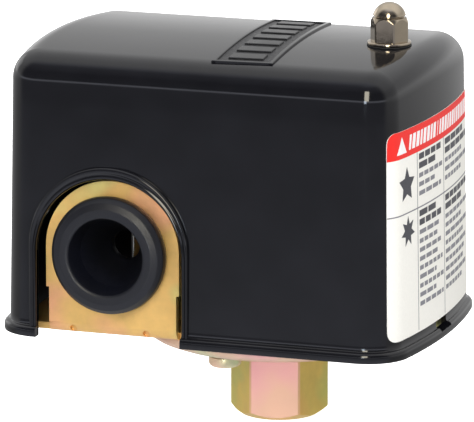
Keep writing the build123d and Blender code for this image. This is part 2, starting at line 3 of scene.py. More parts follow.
import bmesh
import bpy
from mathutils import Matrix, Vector


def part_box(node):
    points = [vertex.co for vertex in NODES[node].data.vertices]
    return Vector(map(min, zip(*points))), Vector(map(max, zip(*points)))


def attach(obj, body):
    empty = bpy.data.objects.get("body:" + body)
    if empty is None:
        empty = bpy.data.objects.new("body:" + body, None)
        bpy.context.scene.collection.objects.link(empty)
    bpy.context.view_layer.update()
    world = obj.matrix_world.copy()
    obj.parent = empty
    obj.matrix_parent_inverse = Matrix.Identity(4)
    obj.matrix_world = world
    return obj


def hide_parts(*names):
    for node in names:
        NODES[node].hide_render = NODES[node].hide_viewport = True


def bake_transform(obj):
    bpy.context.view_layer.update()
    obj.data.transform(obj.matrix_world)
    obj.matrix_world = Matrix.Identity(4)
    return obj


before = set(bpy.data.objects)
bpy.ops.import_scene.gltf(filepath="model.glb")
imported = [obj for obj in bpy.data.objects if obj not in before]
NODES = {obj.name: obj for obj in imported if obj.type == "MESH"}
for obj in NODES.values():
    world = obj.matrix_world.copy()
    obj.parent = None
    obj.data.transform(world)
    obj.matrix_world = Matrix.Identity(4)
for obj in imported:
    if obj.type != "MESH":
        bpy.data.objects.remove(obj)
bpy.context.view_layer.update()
MM = 0.001
UP = Vector((0, 0, 1))

# ------------------------------------------------------------------ sizes, mm
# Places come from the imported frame's boxes; the rest are the cover's own curves.


def box_mm(node):
    low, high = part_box(node)
    return low / MM, high / MM


cover_low, cover_high = box_mm("cover")
ear_low = box_mm("base_frame")[0]
label_low, label_high = box_mm("cover_label")
nut_low, nut_high = box_mm("cover_nut")
washer_low, washer_high = box_mm("cover_seal_washer")
dish_high = box_mm("diaphragm_housing")[1]
grommet_low, grommet_high = box_mm("grommet_front")
range_low, range_high = box_mm("range_spring")
diff_low, diff_high = box_mm("differential_spring")

LIP_FLARE = 1.4
LIP_Z = cover_low.z
LIP_HEIGHT = 2.5
COVER_X = (cover_low.x + cover_high.x) / 2
COVER_HALF_LENGTH = (cover_high.x - cover_low.x) / 2 - LIP_FLARE
COVER_HALF_WIDTH = (cover_high.y - cover_low.y) / 2 - LIP_FLARE
COVER_TOP = washer_low.z - 0.02
END_BULGE = 3.4
CORNER_R = 9.0
CROWN = 1.8
CROWN_R = COVER_HALF_WIDTH ** 2 / (2 * CROWN)
TOP_R = 6.9
DRAFT = math.radians(1.07)
WALL = 1.2
CONDUIT_X = (grommet_low.x + grommet_high.x) / 2
CONDUIT_Z = (grommet_low.z + grommet_high.z) / 2
ARCH_Z = 43.2
ARCH_R = 18.2
BEAD_Z = 44.5
BEAD_R = 20.0
BEAD_FACE = 34.4
NUT_X = (nut_low.x + nut_high.x) / 2
NUT_HOLE_R = 3.2
STAMP_X = -1.7
STAMP_Y = -0.7
STAMP_TURN = math.radians(3.2)
STAMP_HALF = Vector((7.4, 26.75))
NOTCH = (-5.2, 2.6)
NOTCH_HEIGHT = 2.8
FLOOR_Z = 23.0
FLOOR_TOP = 24.6
PLATE = 1.6
STAMP_RAISE = 0.45
HEX_TURN = math.radians(12.0)
DIFF_X = (diff_low.x + diff_high.x) / 2


# ------------------------------------------------------------------ meshes
def add_object(name, data):
    thing = bpy.data.objects.new(name, data)
    bpy.context.scene.collection.objects.link(thing)
    return thing


def smooth(mesh, degrees):
    """Smooth shading, except at edges sharper than the angle."""
    mesh.shade_smooth()
    mesh.set_sharp_from_angle(angle=math.radians(degrees))


def clean(mesh, merge=0.0):
    """Merges vertices within merge millimetres and turns the faces outwards."""
    work = bmesh.new()
    work.from_mesh(mesh)
    if merge:
        bmesh.ops.remove_doubles(work, verts=work.verts, dist=merge * MM)
    bmesh.ops.recalc_face_normals(work, faces=work.faces)
    work.to_mesh(mesh)
    work.free()


def mesh_object(name, verts, faces, smooth_angle=35.0, merge=0.0):
    """An object from millimetre points, shaded smooth except at sharp edges."""
    mesh = bpy.data.meshes.new(name)
    mesh.from_pydata([Vector(v) * MM for v in verts], [], faces)
    clean(mesh, merge)
    smooth(mesh, smooth_angle)
    return add_object(name, mesh)


def strip_faces(count, first, second):
    """Quads between two rings of vertices that start at first and second."""
    faces = []
    for i in range(count):
        j = (i + 1) % count
        faces.append((first + i, first + j, second + j, second + i))
    return faces


def ring_stack(rings, closed_loop=False, capped=False):
    """Vertices and faces of rings that all have the same number of points."""
    count = len(rings[0])
    verts = [point for ring in rings for point in ring]
    faces = []
    pairs = list(zip(range(len(rings) - 1), range(1, len(rings))))
    if closed_loop:
        pairs.append((len(rings) - 1, 0))
    for low, high in pairs:
        faces += strip_faces(count, low * count, high * count)
    if capped:
        faces.append(tuple(range(count)))
        faces.append(tuple(range(len(verts) - count, len(verts))))
    return verts, faces


def together(first, second):
    """Two pairs of (verts, faces) as one."""
    verts, faces = first
    more_verts, more_faces = second
    shift = len(verts)
    return verts + more_verts, faces + [tuple(shift + i for i in face) for face in more_faces]


def rounded(points, radius, steps=6):
    """The closed 2-D outline with every corner rounded where there is room."""
    result = []
    total = len(points)
    for i in range(total):
        here = Vector(points[i])
        back = Vector(points[i - 1]) - here
        ahead = Vector(points[(i + 1) % total]) - here
        turn = back.angle(ahead)
        trim = radius / math.tan(turn / 2)
        trim = min(trim, 0.45 * back.length, 0.45 * ahead.length)
        start = here + back.normalized() * trim
        end = here + ahead.normalized() * trim
        for k in range(steps + 1):
            t = k / steps
            result.append((1 - t) ** 2 * start + 2 * t * (1 - t) * here + t * t * end)
    return result


def lathe(name, outline, centre, along, radius=0.3, segments=144):
    """A closed outline of (radius, height) turned about an axis."""
    outline = rounded(outline, radius)
    side = Vector((1, 0, 0)) if abs(along.z) > 0.5 else UP
    other = along.cross(side)
    rings = []
    for r, height in outline:
        ring = []
        for i in range(segments):
            angle = math.tau * i / segments
            ring.append(centre + along * height + (side * math.cos(angle) + other * math.sin(angle)) * r)
        rings.append(ring)
    verts, faces = ring_stack(rings, closed_loop=True)
    return mesh_object(name, verts, faces, merge=0.001)


def level_ring(x, z, segments, radius_at):
    """One level of a bar that stands at (x, 0); radius_at gives the radius at point i."""
    ring = []
    for i in range(segments):
        angle = math.tau * i / segments
        r = radius_at(i)
        ring.append(Vector((x + r * math.cos(angle), r * math.sin(angle), z)))
    return ring


def hex_radius(angle, flats, turn, corner_cut):
    """Distance from a hexagon's centre to its edge, its corners slightly cut."""
    third = math.radians(60)
    from_flat = (angle - turn) % third - third / 2
    edge = flats / 2 / math.cos(from_flat)
    return min(edge, flats / math.sqrt(3) - corner_cut)


def hex_solid(centre_x, flats, turn, levels, corner_cut=0.25, segments=240):
    """A hexagonal bar cut back to the limit radius of each (height, limit) level."""
    edges = [hex_radius(math.tau * i / segments, flats, turn, corner_cut) for i in range(segments)]
    rings = []
    for z, limit in levels:
        rings.append(level_ring(centre_x, z, segments, lambda i: min(edges[i], limit)))
    return ring_stack(rings)


def apply_modifiers(thing):
    """Bakes an object's modifiers into its mesh."""
    depsgraph = bpy.context.evaluated_depsgraph_get()
    mesh = bpy.data.meshes.new_from_object(thing.evaluated_get(depsgraph))
    thing.modifiers.clear()
    thing.data = mesh


def cut(thing, cutter):
    """Takes the cutter's volume out of the thing and deletes the cutter."""
    boolean = thing.modifiers.new("cut", "BOOLEAN")
    boolean.operation = "DIFFERENCE"
    boolean.solver = "EXACT"
    boolean.object = cutter
    apply_modifiers(thing)
    bpy.data.objects.remove(cutter)


def join(target, *others):
    """Adds the other objects' meshes to the target's."""
    work = bmesh.new()
    work.from_mesh(target.data)
    for other in others:
        work.from_mesh(other.data)
        bpy.data.objects.remove(other)
    work.to_mesh(target.data)
    work.free()
    return target


def prism_y(outline, y0, y1):
    """Verts and faces of an (x, z) outline pushed along Y."""
    near = [Vector((x, y0, z)) for x, z in outline]
    far = [Vector((x, y1, z)) for x, z in outline]
    verts, faces = ring_stack([near, far])
    count = len(outline)
    faces.append(tuple(range(count)))
    faces.append(tuple(range(2 * count - 1, count - 1, -1)))
    return verts, faces


def arch_outline(radius, bottom, steps=72):
    """An arch over the conduit's axis as (x, z) points, left foot first."""
    points = [(CONDUIT_X - radius, bottom)]
    for i in range(steps + 1):
        angle = math.pi - math.pi * i / steps
        points.append((CONDUIT_X + radius * math.cos(angle), ARCH_Z + radius * math.sin(angle)))
    points.append((CONDUIT_X + radius, bottom))
    return points


# ------------------------------------------------------------------ materials
def new_material(name, color, roughness, metallic=0.0, ior=1.5):
    material = bpy.data.materials.new(name)
    material.use_nodes = True
    shader = shader_of(material)
    shader.inputs["Base Color"].default_value = (*color, 1)
    shader.inputs["Roughness"].default_value = roughness
    shader.inputs["Metallic"].default_value = metallic
    shader.inputs["IOR"].default_value = ior
    material.diffuse_color = (*color, 1)
    return material


def shader_of(material):
    return material.node_tree.nodes["Principled BSDF"]


def add_node(owner, kind, inputs=(), **settings):
    """A node in a material or world; inputs are (socket, value) pairs."""
    node = owner.node_tree.nodes.new(kind)
    for key, value in settings.items():
        setattr(node, key, value)
    for socket, value in inputs:
        node.inputs[socket].default_value = value
    return node


def link(owner, source, target):
    owner.node_tree.links.new(source, target)


def object_noise(material, scale, detail=4.0, roughness=0.55):
    """Noise in the object's own coordinates; scale is in lumps per metre."""
    place = add_node(material, "ShaderNodeTexCoord")
    values = (("Scale", scale), ("Detail", detail), ("Roughness", roughness))
    noise = add_node(material, "ShaderNodeTexNoise", values)
    link(material, place.outputs["Object"], noise.inputs["Vector"])
    return noise.outputs["Fac"]


def ramp(owner, source, stops):
    """A colour ramp over source; stops are (place, colour)."""
    node = add_node(owner, "ShaderNodeValToRGB")
    elements = node.color_ramp.elements
    while len(elements) < len(stops):
        elements.new(0.5)
    for element, (place, color) in zip(elements, stops):
        element.position = place
        element.color = (*color, 1)
    link(owner, source, node.inputs["Fac"])
    return node.outputs["Color"]


def shade_roughness(material, source, low, high):
    """Lets a texture move the roughness between two values."""
    span = (("From Min", 0.3), ("From Max", 0.7), ("To Min", low), ("To Max", high))
    node = add_node(material, "ShaderNodeMapRange", span)
    link(material, source, node.inputs["Value"])
    link(material, node.outputs["Result"], shader_of(material).inputs["Roughness"])


def add_bump(material, source, strength, distance_mm):
    values = (("Strength", strength), ("Distance", distance_mm * MM))
    node = add_node(material, "ShaderNodeBump", values)
    link(material, source, node.inputs["Height"])
    link(material, node.outputs["Normal"], shader_of(material).inputs["Normal"])


def base_color(material, source):
    link(material, source, shader_of(material).inputs["Base Color"])


def dull_black():
    """The unpolished coat inside the cover."""
    material = new_material("inside_coat", (0.006, 0.006, 0.007), 0.9)
    shader_of(material).inputs["Specular IOR Level"].default_value = 0.05
    cloud = object_noise(material, 90, 3)
    shades = [(0.3, (0.004, 0.004, 0.005)), (0.7, (0.008, 0.008, 0.009))]
    base_color(material, ramp(material, cloud, shades))
    return material


def enamel(name, color, rough, ripple):
    """Gloss black stoving enamel with a faint orange peel."""
    material = new_material(name, color, rough[0], ior=1.45)
    cloud = object_noise(material, 60, 3)
    low = tuple(0.7 * c for c in color)
    high = tuple(1.3 * c for c in color)
    base_color(material, ramp(material, cloud, [(0.3, low), (0.75, high)]))
    shade_roughness(material, object_noise(material, 140, 5), *rough)
    add_bump(material, object_noise(material, 420, 2), ripple, 0.05)
    return material


def stippled_enamel():
    """The same enamel over a finely stippled stamping."""
    material = new_material("stippled_enamel", (0.010, 0.010, 0.012), 0.4, ior=1.42)
    grain = object_noise(material, 1700, 2)
    shades = [(0.35, (0.004, 0.004, 0.005)), (0.7, (0.02, 0.02, 0.023))]
    base_color(material, ramp(material, grain, shades))
    shade_roughness(material, grain, 0.3, 0.5)
    add_bump(material, grain, 0.7, 0.22)
    return material


def zinc(name, gold, warm, green, sheen_facing=None):
    """Yellow-passivated zinc with drifting pink and green; given a direction, faces turned towards it
    get a painted pink sheen.
    """
    material = new_material(name, gold, 0.36, metallic=0.45)
    drift = object_noise(material, 34, 3, 0.5)
    tint = ramp(material, drift, [(0.38, green), (0.47, gold), (0.54, gold), (0.64, warm)])
    fine = object_noise(material, 260, 5, 0.6)
    blotch = ramp(material, fine, [(0.3, (0.84, 0.84, 0.84)), (0.7, (1.0, 1.0, 1.0))])
    mix = add_node(material, "ShaderNodeMix", data_type="RGBA", blend_type="MULTIPLY")
    mix.inputs["Factor"].default_value = 0.8
    link(material, tint, mix.inputs[6])
    link(material, blotch, mix.inputs[7])
    color = mix.outputs[2]
    # Painted sheen: faces turned towards the front, where the camera stands, are tinted pink as the
    # iridescent film looks from there.
    if sheen_facing is not None:
        normal = add_node(material, "ShaderNodeNewGeometry")
        towards = add_node(material, "ShaderNodeVectorMath", operation="DOT_PRODUCT")
        towards.inputs[1].default_value = sheen_facing
        link(material, normal.outputs["Normal"], towards.inputs[0])
        span = (("From Min", 0.75), ("From Max", 0.97))
        sheen_amount = add_node(material, "ShaderNodeMapRange", span)
        link(material, towards.outputs["Value"], sheen_amount.inputs["Value"])
        sheen_pinks = [(0.38, (0.92, 0.38, 0.42)), (0.5, (0.90, 0.45, 0.40)), (0.62, (0.84, 0.50, 0.34))]
        painted_sheen = ramp(material, drift, sheen_pinks)
        sheen_mix = add_node(material, "ShaderNodeMix", data_type="RGBA")
        link(material, sheen_amount.outputs["Result"], sheen_mix.inputs["Factor"])
        link(material, color, sheen_mix.inputs[6])
        link(material, painted_sheen, sheen_mix.inputs[7])
        color = sheen_mix.outputs[2]
    base_color(material, color)
    shade_roughness(material, fine, 0.30, 0.46)
    add_bump(material, object_noise(material, 700, 4, 0.6), 0.12, 0.05)
    return material


def plated(name, color, roughness):
    """Bright plated or turned metal with fine marks."""
    material = new_material(name, color, roughness, metallic=1.0)
    marks = object_noise(material, 900, 4, 0.6)
    shade_roughness(material, marks, roughness * 0.8, roughness * 1.35)
    low = tuple(0.82 * c for c in color)
    base_color(material, ramp(material, object_noise(material, 150, 4), [(0.3, low), (0.65, color)]))
    add_bump(material, marks, 0.06, 0.03)
    return material


def moulded(name, color, roughness, grain=1200, bump=0.25):
    """Moulded rubber or plastic with a fine skin."""
    material = new_material(name, color, roughness)
    skin = object_noise(material, grain, 3)
    low = tuple(0.7 * c for c in color)
    base_color(material, ramp(material, object_noise(material, 90, 4), [(0.3, low), (0.7, color)]))
    shade_roughness(material, skin, roughness * 0.88, min(1.0, roughness * 1.12))
    add_bump(material, skin, bump, 0.06)
    return material


def printed(name, color, roughness=0.42):
    """Ink on coated label stock."""
    material = new_material(name, color, roughness)
    fibre = object_noise(material, 1500, 4, 0.6)
    low = tuple(0.95 * c for c in color)
    base_color(material, ramp(material, fibre, [(0.3, low), (0.7, color)]))
    shade_roughness(material, fibre, roughness * 0.9, roughness * 1.15)
    add_bump(material, fibre, 0.08, 0.02)
    return material


GOLD = (0.86, 0.53, 0.165)
MATERIALS = {
    "enamel": enamel("black_enamel", (0.006, 0.006, 0.0075), (0.07, 0.11), 0.04),
    "inside_coat": dull_black(),
    "worn_enamel": enamel("worn_enamel", (0.007, 0.007, 0.008), (0.25, 0.35), 0.3),
    "stipple": stippled_enamel(),
    "zinc_base": zinc("zinc_base", GOLD, (0.92, 0.46, 0.22), (0.76, 0.72, 0.24)),
    # The hex's front facets get a painted pink sheen.
    "zinc_hex": zinc(
        "zinc_hex", (0.76, 0.56, 0.13), (0.84, 0.50, 0.14), (0.62, 0.62, 0.16),
        sheen_facing=(math.sin(HEX_TURN), -math.cos(HEX_TURN), 0),
    ),
    "zinc_dish": zinc("zinc_dish", (0.88, 0.60, 0.42), (0.96, 0.50, 0.48), (0.64, 0.78, 0.44)),
    "nickel": plated("nickel", (0.46, 0.39, 0.30), 0.13),
    "steel": plated("steel", (0.62, 0.62, 0.62), 0.28),
    "spring_steel": plated("spring_steel", (0.42, 0.42, 0.44), 0.3),
    "brass": plated("brass", (0.80, 0.60, 0.26), 0.22),
    "copper": plated("copper", (0.83, 0.50, 0.30), 0.3),
    "silver": plated("silver", (0.90, 0.89, 0.86), 0.2),
    "green_zinc": plated("green_zinc", (0.06, 0.36, 0.13), 0.3),
    "rubber": moulded("grommet_rubber", (0.003, 0.0035, 0.007), 0.45),
    "washer_rubber": moulded("washer_rubber", (0.012, 0.012, 0.012), 0.7),
    "phenolic": moulded("phenolic", (0.018, 0.017, 0.017), 0.38, 700, 0.12),
    "brown_phenolic": moulded("brown_phenolic", (0.11, 0.045, 0.025), 0.36, 700, 0.12),
    "acetal": moulded("acetal", (0.75, 0.73, 0.66), 0.35, 700, 0.08),
    "label": printed("label_stock", (0.86, 0.84, 0.77)),
    "label_red": printed("label_red", (0.80, 0.016, 0.010), 0.5),
    "label_white": printed("label_white", (0.90, 0.88, 0.86)),
    "label_grey": printed("label_grey", (0.20, 0.20, 0.22)),
    "label_dark": printed("label_dark", (0.05, 0.05, 0.06)),
}


def dress(thing, material):
    thing.data.materials.clear()
    thing.data.materials.append(MATERIALS[material])


# ------------------------------------------------------------------ cover
def cover_plan():
    """The cover's plan as (point, outward normal), from the right end's middle."""
    half = COVER_HALF_WIDTH
    straight = COVER_HALF_LENGTH - END_BULGE
    end_r = (half ** 2 + END_BULGE ** 2) / (2 * END_BULGE)
    end_x = straight + END_BULGE - end_r
    corner_y = half - CORNER_R
    corner_x = end_x + math.sqrt((end_r - CORNER_R) ** 2 - corner_y ** 2)
    meet = math.atan2(corner_y, corner_x - end_x)
    quarter = []
    for i in range(40):
        angle = meet * i / 40
        quarter.append((end_x + end_r * math.cos(angle), end_r * math.sin(angle), angle))
    for i in range(33):
        angle = meet + (math.pi / 2 - meet) * i / 32
        x = corner_x + CORNER_R * math.cos(angle)
        y = corner_y + CORNER_R * math.sin(angle)
        quarter.append((x, y, angle))
    for i in range(1, 24):
        quarter.append((corner_x * (1 - i / 24), half, math.pi / 2))
    quarter.append((0, half, math.pi / 2))
    plan = []
    for x, y, angle in quarter:
        plan.append((x, y, math.cos(angle), math.sin(angle)))
    for x, y, angle in reversed(quarter[1:-1]):
        plan.append((-x, y, -math.cos(angle), math.sin(angle)))
    plan.append((-quarter[0][0], 0, -1, 0))
    for x, y, angle in quarter[1:]:
        plan.append((-x, -y, -math.cos(angle), -math.sin(angle)))
    for x, y, angle in reversed(quarter[1:-1]):
        plan.append((x, -y, math.cos(angle), -math.sin(angle)))
    return plan


PLAN = cover_plan()


def wall_inset(z):
    return (z - LIP_Z) * math.tan(DRAFT)


def crown_z(y):
    return COVER_TOP - y * y / (2 * CROWN_R)


def plan_point(entry, inset, z):
    x, y, nx, ny = entry
    return Vector((COVER_X + x - inset * nx, y - inset * ny, z))


def shoulder(entry, depth, steps=14):
    """The fillet from wall to crown, depth inside the outer skin, as (inset, z)."""
    radius = TOP_R - depth
    y, ny = entry[1], entry[3]
    at = 8.0  # how far in from the wall the crown's slope is taken
    crown_y = y - at * ny
    slope = crown_y * ny / CROWN_R
    size = math.hypot(1, slope)
    wall_n = Vector((math.cos(DRAFT), -math.sin(DRAFT)))
    crown_n = Vector((slope / size, -1 / size))
    wall_d = Vector((0, LIP_Z)).dot(wall_n) + depth + radius
    crown_d = Vector((at, crown_z(crown_y))).dot(crown_n) + depth + radius
    det = wall_n.x * crown_n.y - wall_n.y * crown_n.x
    centre = Vector((
        (wall_d * crown_n.y - wall_n.y * crown_d) / det,
        (wall_n.x * crown_d - wall_d * crown_n.x) / det,
    ))
    first = math.atan2(-wall_n.y, -wall_n.x)
    last = math.atan2(-crown_n.y, -crown_n.x)
    points = []
    for i in range(steps + 1):
        angle = first + (last - first) * i / steps
        points.append(centre + radius * Vector((math.cos(angle), math.sin(angle))))
    return points


def lip_profile():
    """(inset, z) points from the inner edge round the lip to the wall."""
    top = LIP_Z + LIP_HEIGHT
    outer = -LIP_FLARE
    points = [(WALL, LIP_Z), (0, LIP_Z), (outer + 0.3, LIP_Z), (outer + 0.08, LIP_Z + 0.08)]
    points += [(outer, LIP_Z + 0.3), (outer, top - 1.0)]
    for i in range(1, 6):
        angle = math.radians(18 * i)
        points.append((outer + 1 - math.cos(angle), top - 1.0 + math.sin(angle)))
    points += [(-0.22, top + 0.05), (-0.05, top + 0.2), (wall_inset(top + 0.6), top + 0.6)]
    return points


def cover_rings(depth):
    """Rings of one skin of the cover, from its foot to its spine."""
    rings = []
    if depth == 0:
        levels = lip_profile()
    else:
        levels = [(WALL, LIP_Z)]
    for inset, z in levels:
        rings.append([plan_point(entry, inset, z) for entry in PLAN])
    shoulders = [shoulder(entry, depth) for entry in PLAN]
    for share in (0.0, 0.15, 0.4, 0.7, 0.9):
        ring = []
        for entry, curve in zip(PLAN, shoulders):
            z = LIP_Z + 4 + (curve[0].y - LIP_Z - 4) * share
            ring.append(plan_point(entry, wall_inset(z) + depth / math.cos(DRAFT), z))
        rings.append(ring)
    for step in range(len(shoulders[0])):
        ring = [plan_point(entry, *curve[step]) for entry, curve in zip(PLAN, shoulders)]
        rings.append(ring)
    edge = rings[-1]
    reach = COVER_HALF_LENGTH - COVER_HALF_WIDTH
    for share in (0.04, 0.12, 0.25, 0.4, 0.55, 0.7, 0.85, 1.0):
        ring = []
        for point in edge:
            spine_x = COVER_X + max(-reach, min(reach, point.x - COVER_X))
            x = point.x + (spine_x - point.x) * share
            y = point.y * (1 - share)
            ring.append(Vector((x, y, crown_z(y) - depth)))
        rings.append(ring)
    return rings


def bead(side):
    """The bead round one cut-out: an outer ridge, a shallow groove and a rolled edge."""
    stations = []
    foot_steps = 12
    for i in range(foot_steps):
        share = i / foot_steps
        stations.append((math.pi, share))
    for i in range(97):
        stations.append((math.pi - math.pi * i / 96, 1.0))
    for i in range(foot_steps - 1, -1, -1):
        stations.append((0.0, i / foot_steps))
    profile = [
        (0.0, -9.0), (0.0, -0.75), (0.04, -0.4), (0.12, -0.12), (0.22, 0.0), (0.34, -0.02),
        (0.43, -0.16), (0.5, -0.34), (0.56, -0.4), (0.63, -0.34), (0.7, -0.22), (0.8, -0.2),
        (0.89, -0.34), (0.96, -0.65), (1.0, -1.1), (1.0, -9.0),
    ]
    rings = []
    for angle, share in stations:
        outer = arch_point(BEAD_R, BEAD_Z, angle, share)
        inner = arch_point(ARCH_R, ARCH_Z, angle, share)
        root = COVER_HALF_WIDTH - wall_inset(inner.y) - 0.8
        ring = []
        for across, depth in profile:
            place = outer + (inner - outer) * across
            out = max(root, BEAD_FACE + depth)
            ring.append(Vector((place.x, side * out, place.y)))
        rings.append(ring)
    verts, faces = ring_stack(rings, capped=True)
    return mesh_object("bead", verts, faces, merge=0.001)


def arch_point(radius, centre_z, angle, share):
    """A point (x, z) on an arch; share runs from the foot to the springing line."""
    foot = LIP_Z + 0.02
    spring_z = foot + (centre_z - foot) * share
    x = CONDUIT_X + radius * math.cos(angle)
    return Vector((x, spring_z + radius * math.sin(angle)))


def on_crown(x, y, height):
    """A point of the stamping, given in its own turned axes, above the crown."""
    turned_x = x * math.cos(STAMP_TURN) - y * math.sin(STAMP_TURN)
    turned_y = x * math.sin(STAMP_TURN) + y * math.cos(STAMP_TURN) + STAMP_Y
    return Vector((STAMP_X + turned_x, turned_y, crown_z(turned_y) + height))


def crown_patch(name, x0, x1, y0, y1, raise_mm, bevel=0.14):
    """A raised pad that follows the crown, with eased edges."""
    steps = max(3, int((y1 - y0) / 1.0))
    rows = [y0 + (y1 - y0) * i / steps for i in range(steps + 1)]
    rings = []
    for inset, height in ((0, -0.3), (0, raise_mm - bevel), (bevel, raise_mm)):
        ring = []
        for y in rows:
            y_in = min(max(y, y0 + inset), y1 - inset)
            ring.append(on_crown(x0 + inset, y_in, height))
        for y in reversed(rows):
            y_in = min(max(y, y0 + inset), y1 - inset)
            ring.append(on_crown(x1 - inset, y_in, height))
        rings.append(ring)
    verts, faces = ring_stack(rings)
    count = len(rings[0])
    top = 2 * count
    for i in range(steps):
        faces.append((top + i, top + i + 1, top + count - 2 - i, top + count - 1 - i))
        faces.append((i, i + 1, count - 2 - i, count - 1 - i))
    return mesh_object(name, verts, faces, smooth_angle=25)


def make_cover():
    outer = ring_stack(cover_rings(0))
    outer_count = len(outer[1])
    shell = mesh_object("cover_shell", *together(outer, ring_stack(cover_rings(WALL))))
    dress(shell, "enamel")
    shell.data.materials.append(MATERIALS["inside_coat"])
    for polygon in shell.data.polygons:
        polygon.material_index = 0 if polygon.index < outer_count else 1
    clean(shell.data, 0.004)
    feet = arch_outline(ARCH_R, LIP_Z - 5)
    reach = 2 * COVER_HALF_WIDTH
    cut(shell, mesh_object("arch_cutter", *prism_y(feet, -reach, reach)))
    hole = [(0.001, -5), (NUT_HOLE_R, -5), (NUT_HOLE_R, 5), (0.001, 5)]
    cut(shell, lathe("hole_cutter", hole, Vector((NUT_X, 0, COVER_TOP)), UP, 0.01, 64))
    end = COVER_X + COVER_HALF_LENGTH
    z0 = LIP_Z + LIP_HEIGHT - 0.8
    z1 = z0 + NOTCH_HEIGHT
    slot = [(end - 5, z0), (end + 5, z0), (end + 5, z1), (end - 5, z1)]
    cut(shell, mesh_object("slot_cutter", *prism_y(slot, *NOTCH)))
    smooth(shell.data, 32)
    join(shell, bead(-1), bead(1))
    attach(shell, "cover")
    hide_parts("cover")


def make_stamp():
    """The stamped panel: a border, plain bars and a stippled ground."""
    border = 1.0
    x1 = STAMP_HALF.x
    y1 = STAMP_HALF.y
    raised = [
        crown_patch("stamp_frame", -x1, -x1 + border, -y1, y1, STAMP_RAISE),
        crown_patch("side", x1 - border, x1, -y1, y1, STAMP_RAISE),
        crown_patch("side", -x1, x1, -y1, -y1 + border, STAMP_RAISE - 0.01),
        crown_patch("side", -x1, x1, y1 - border, y1, STAMP_RAISE - 0.01),
    ]
    frame_piece = join(*raised)
    dress(frame_piece, "enamel")
    bars = 7
    step = (2 * y1 - 4 * border) / bars
    reach = x1 - 3.2
    strokes = []
    for i in range(bars):
        y = (i - (bars - 1) / 2) * step
        low = y - 0.3 * step
        high = y + 0.3 * step
        strokes.append(crown_patch("stamp_bars", -reach, reach, low, high, STAMP_RAISE))
    bar_piece = join(*strokes)
    dress(bar_piece, "worn_enamel")
    ground = crown_patch("stamp_ground", -x1 + 0.5, x1 - 0.5, -y1 + 0.5, y1 - 0.5, 0.06, 0.05)
    dress(ground, "stipple")
    for piece in (frame_piece, bar_piece, ground):
        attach(piece, "cover")


# ------------------------------------------------------------------ label
def end_walk():
    """The right end's plan in order of rising Y, with the distance along it."""
    right = [entry for entry in PLAN if entry[0] > 0]
    right.sort(key=lambda entry: (entry[1], -entry[0] if entry[1] < 0 else entry[0]))
    right = [e for e in right if abs(e[1]) < COVER_HALF_WIDTH - 0.001]
    walk = []
    along = 0.0
    for i, entry in enumerate(right):
        if i:
            along += math.dist(entry[:2], right[i - 1][:2])
        walk.append((along, entry))
    middle = next(a for a, e in walk if abs(e[1]) < 1e-6)
    return [(a - middle, e) for a, e in walk]


END_WALK = end_walk()


def end_point(along, z, lift):
    """A point on the right end, along its curve from the middle, lifted off it."""
    for (a0, e0), (a1, e1) in zip(END_WALK, END_WALK[1:]):
        if a0 <= along <= a1:
            t = (along - a0) / (a1 - a0)
            entry = tuple(p + (q - p) * t for p, q in zip(e0, e1))
            return plan_point(entry, wall_inset(z) - lift, z)
    raise ValueError(f"{along} mm is off the end")


LABEL_THICK = 0.15
LABEL_REACH = next(a for a, e in END_WALK if e[1] >= label_high.y)
LABEL_Z0 = label_low.z
LABEL_Z1 = label_high.z


def decal(name, outline, lift, material, thick=0.03):
    """A thin printed shape on the label; outline is (along, height) points."""
    work = bmesh.new()
    corners = [work.verts.new((a, 0, z)) for a, z in outline]
    work.faces.new(corners)
    lows = [min(p[k] for p in outline) for k in (0, 1)]
    highs = [max(p[k] for p in outline) for k in (0, 1)]
    step = 1.0
    for k, normal in ((0, (1, 0, 0)), (1, (0, 0, 1))):
        place = lows[k] + step
        while place < highs[k]:
            at = (place, 0, 0) if k == 0 else (0, 0, place)
            geometry = work.verts[:] + work.edges[:] + work.faces[:]
            bmesh.ops.bisect_plane(work, geom=geometry, plane_co=at, plane_no=normal)
            place += step if k == 0 else 4 * step
    for vert in work.verts:
        vert.co = end_point(vert.co.x, vert.co.z, lift) * MM
    bmesh.ops.recalc_face_normals(work, faces=work.faces)
    sample = next(iter(work.faces))
    if sample.normal.x < 0:
        bmesh.ops.reverse_faces(work, faces=work.faces)
    sheet = bmesh.ops.extrude_face_region(work, geom=work.faces[:])
    for item in sheet["geom"]:
        if isinstance(item, bmesh.types.BMVert):
            item.co.x -= thick * MM
    mesh = bpy.data.meshes.new(name)
    bmesh.ops.recalc_face_normals(work, faces=work.faces)
    work.to_mesh(mesh)
    work.free()
    smooth(mesh, 40)
    thing = add_object(name, mesh)
    dress(thing, material)
    return thing


def rectangle(a0, a1, z0, z1):
    return [(a0, z0), (a1, z0), (a1, z1), (a0, z1)]


HEADER_Z = 69.7
DIVIDER_Z = 56.2
COLUMNS = (-17.1, 1.3)
LINE_PITCH = 2.15


def slanted(a0, a1, z0, z1):
    lean = 0.22 * (z1 - z0)
    return [(a0, z0), (a1, z0), (a1 + lean, z1), (a0 + lean, z1)]


def heading_marks(left, right, ink):
    """A triangle and two runs of slanted bars on the header band."""
    low = HEADER_Z + 1.1
    high = LABEL_Z1 - 1.3
    triangle = [(left + 3.4, low), (left + 8.4, low), (left + 5.9, high)]
    marks = [decal("label_heading_marks", triangle, ink, "label_white")]
    place = left + 9.6
    bar = 0
    while place + 2.4 < right - 3.0:
        width = 1.1 + 0.75 * (math.sin(2.1 * bar) ** 2)
        if bar == 8:  # a thin stroke between the two runs
            width = 0.4
        stroke = slanted(place, place + width, low + 0.3, high - 0.3)
        marks.append(decal("mark", stroke, ink, "label_white"))
        place += width + (0.75 if bar not in (7, 8) else 1.3)
        bar += 1
    return join(*marks)


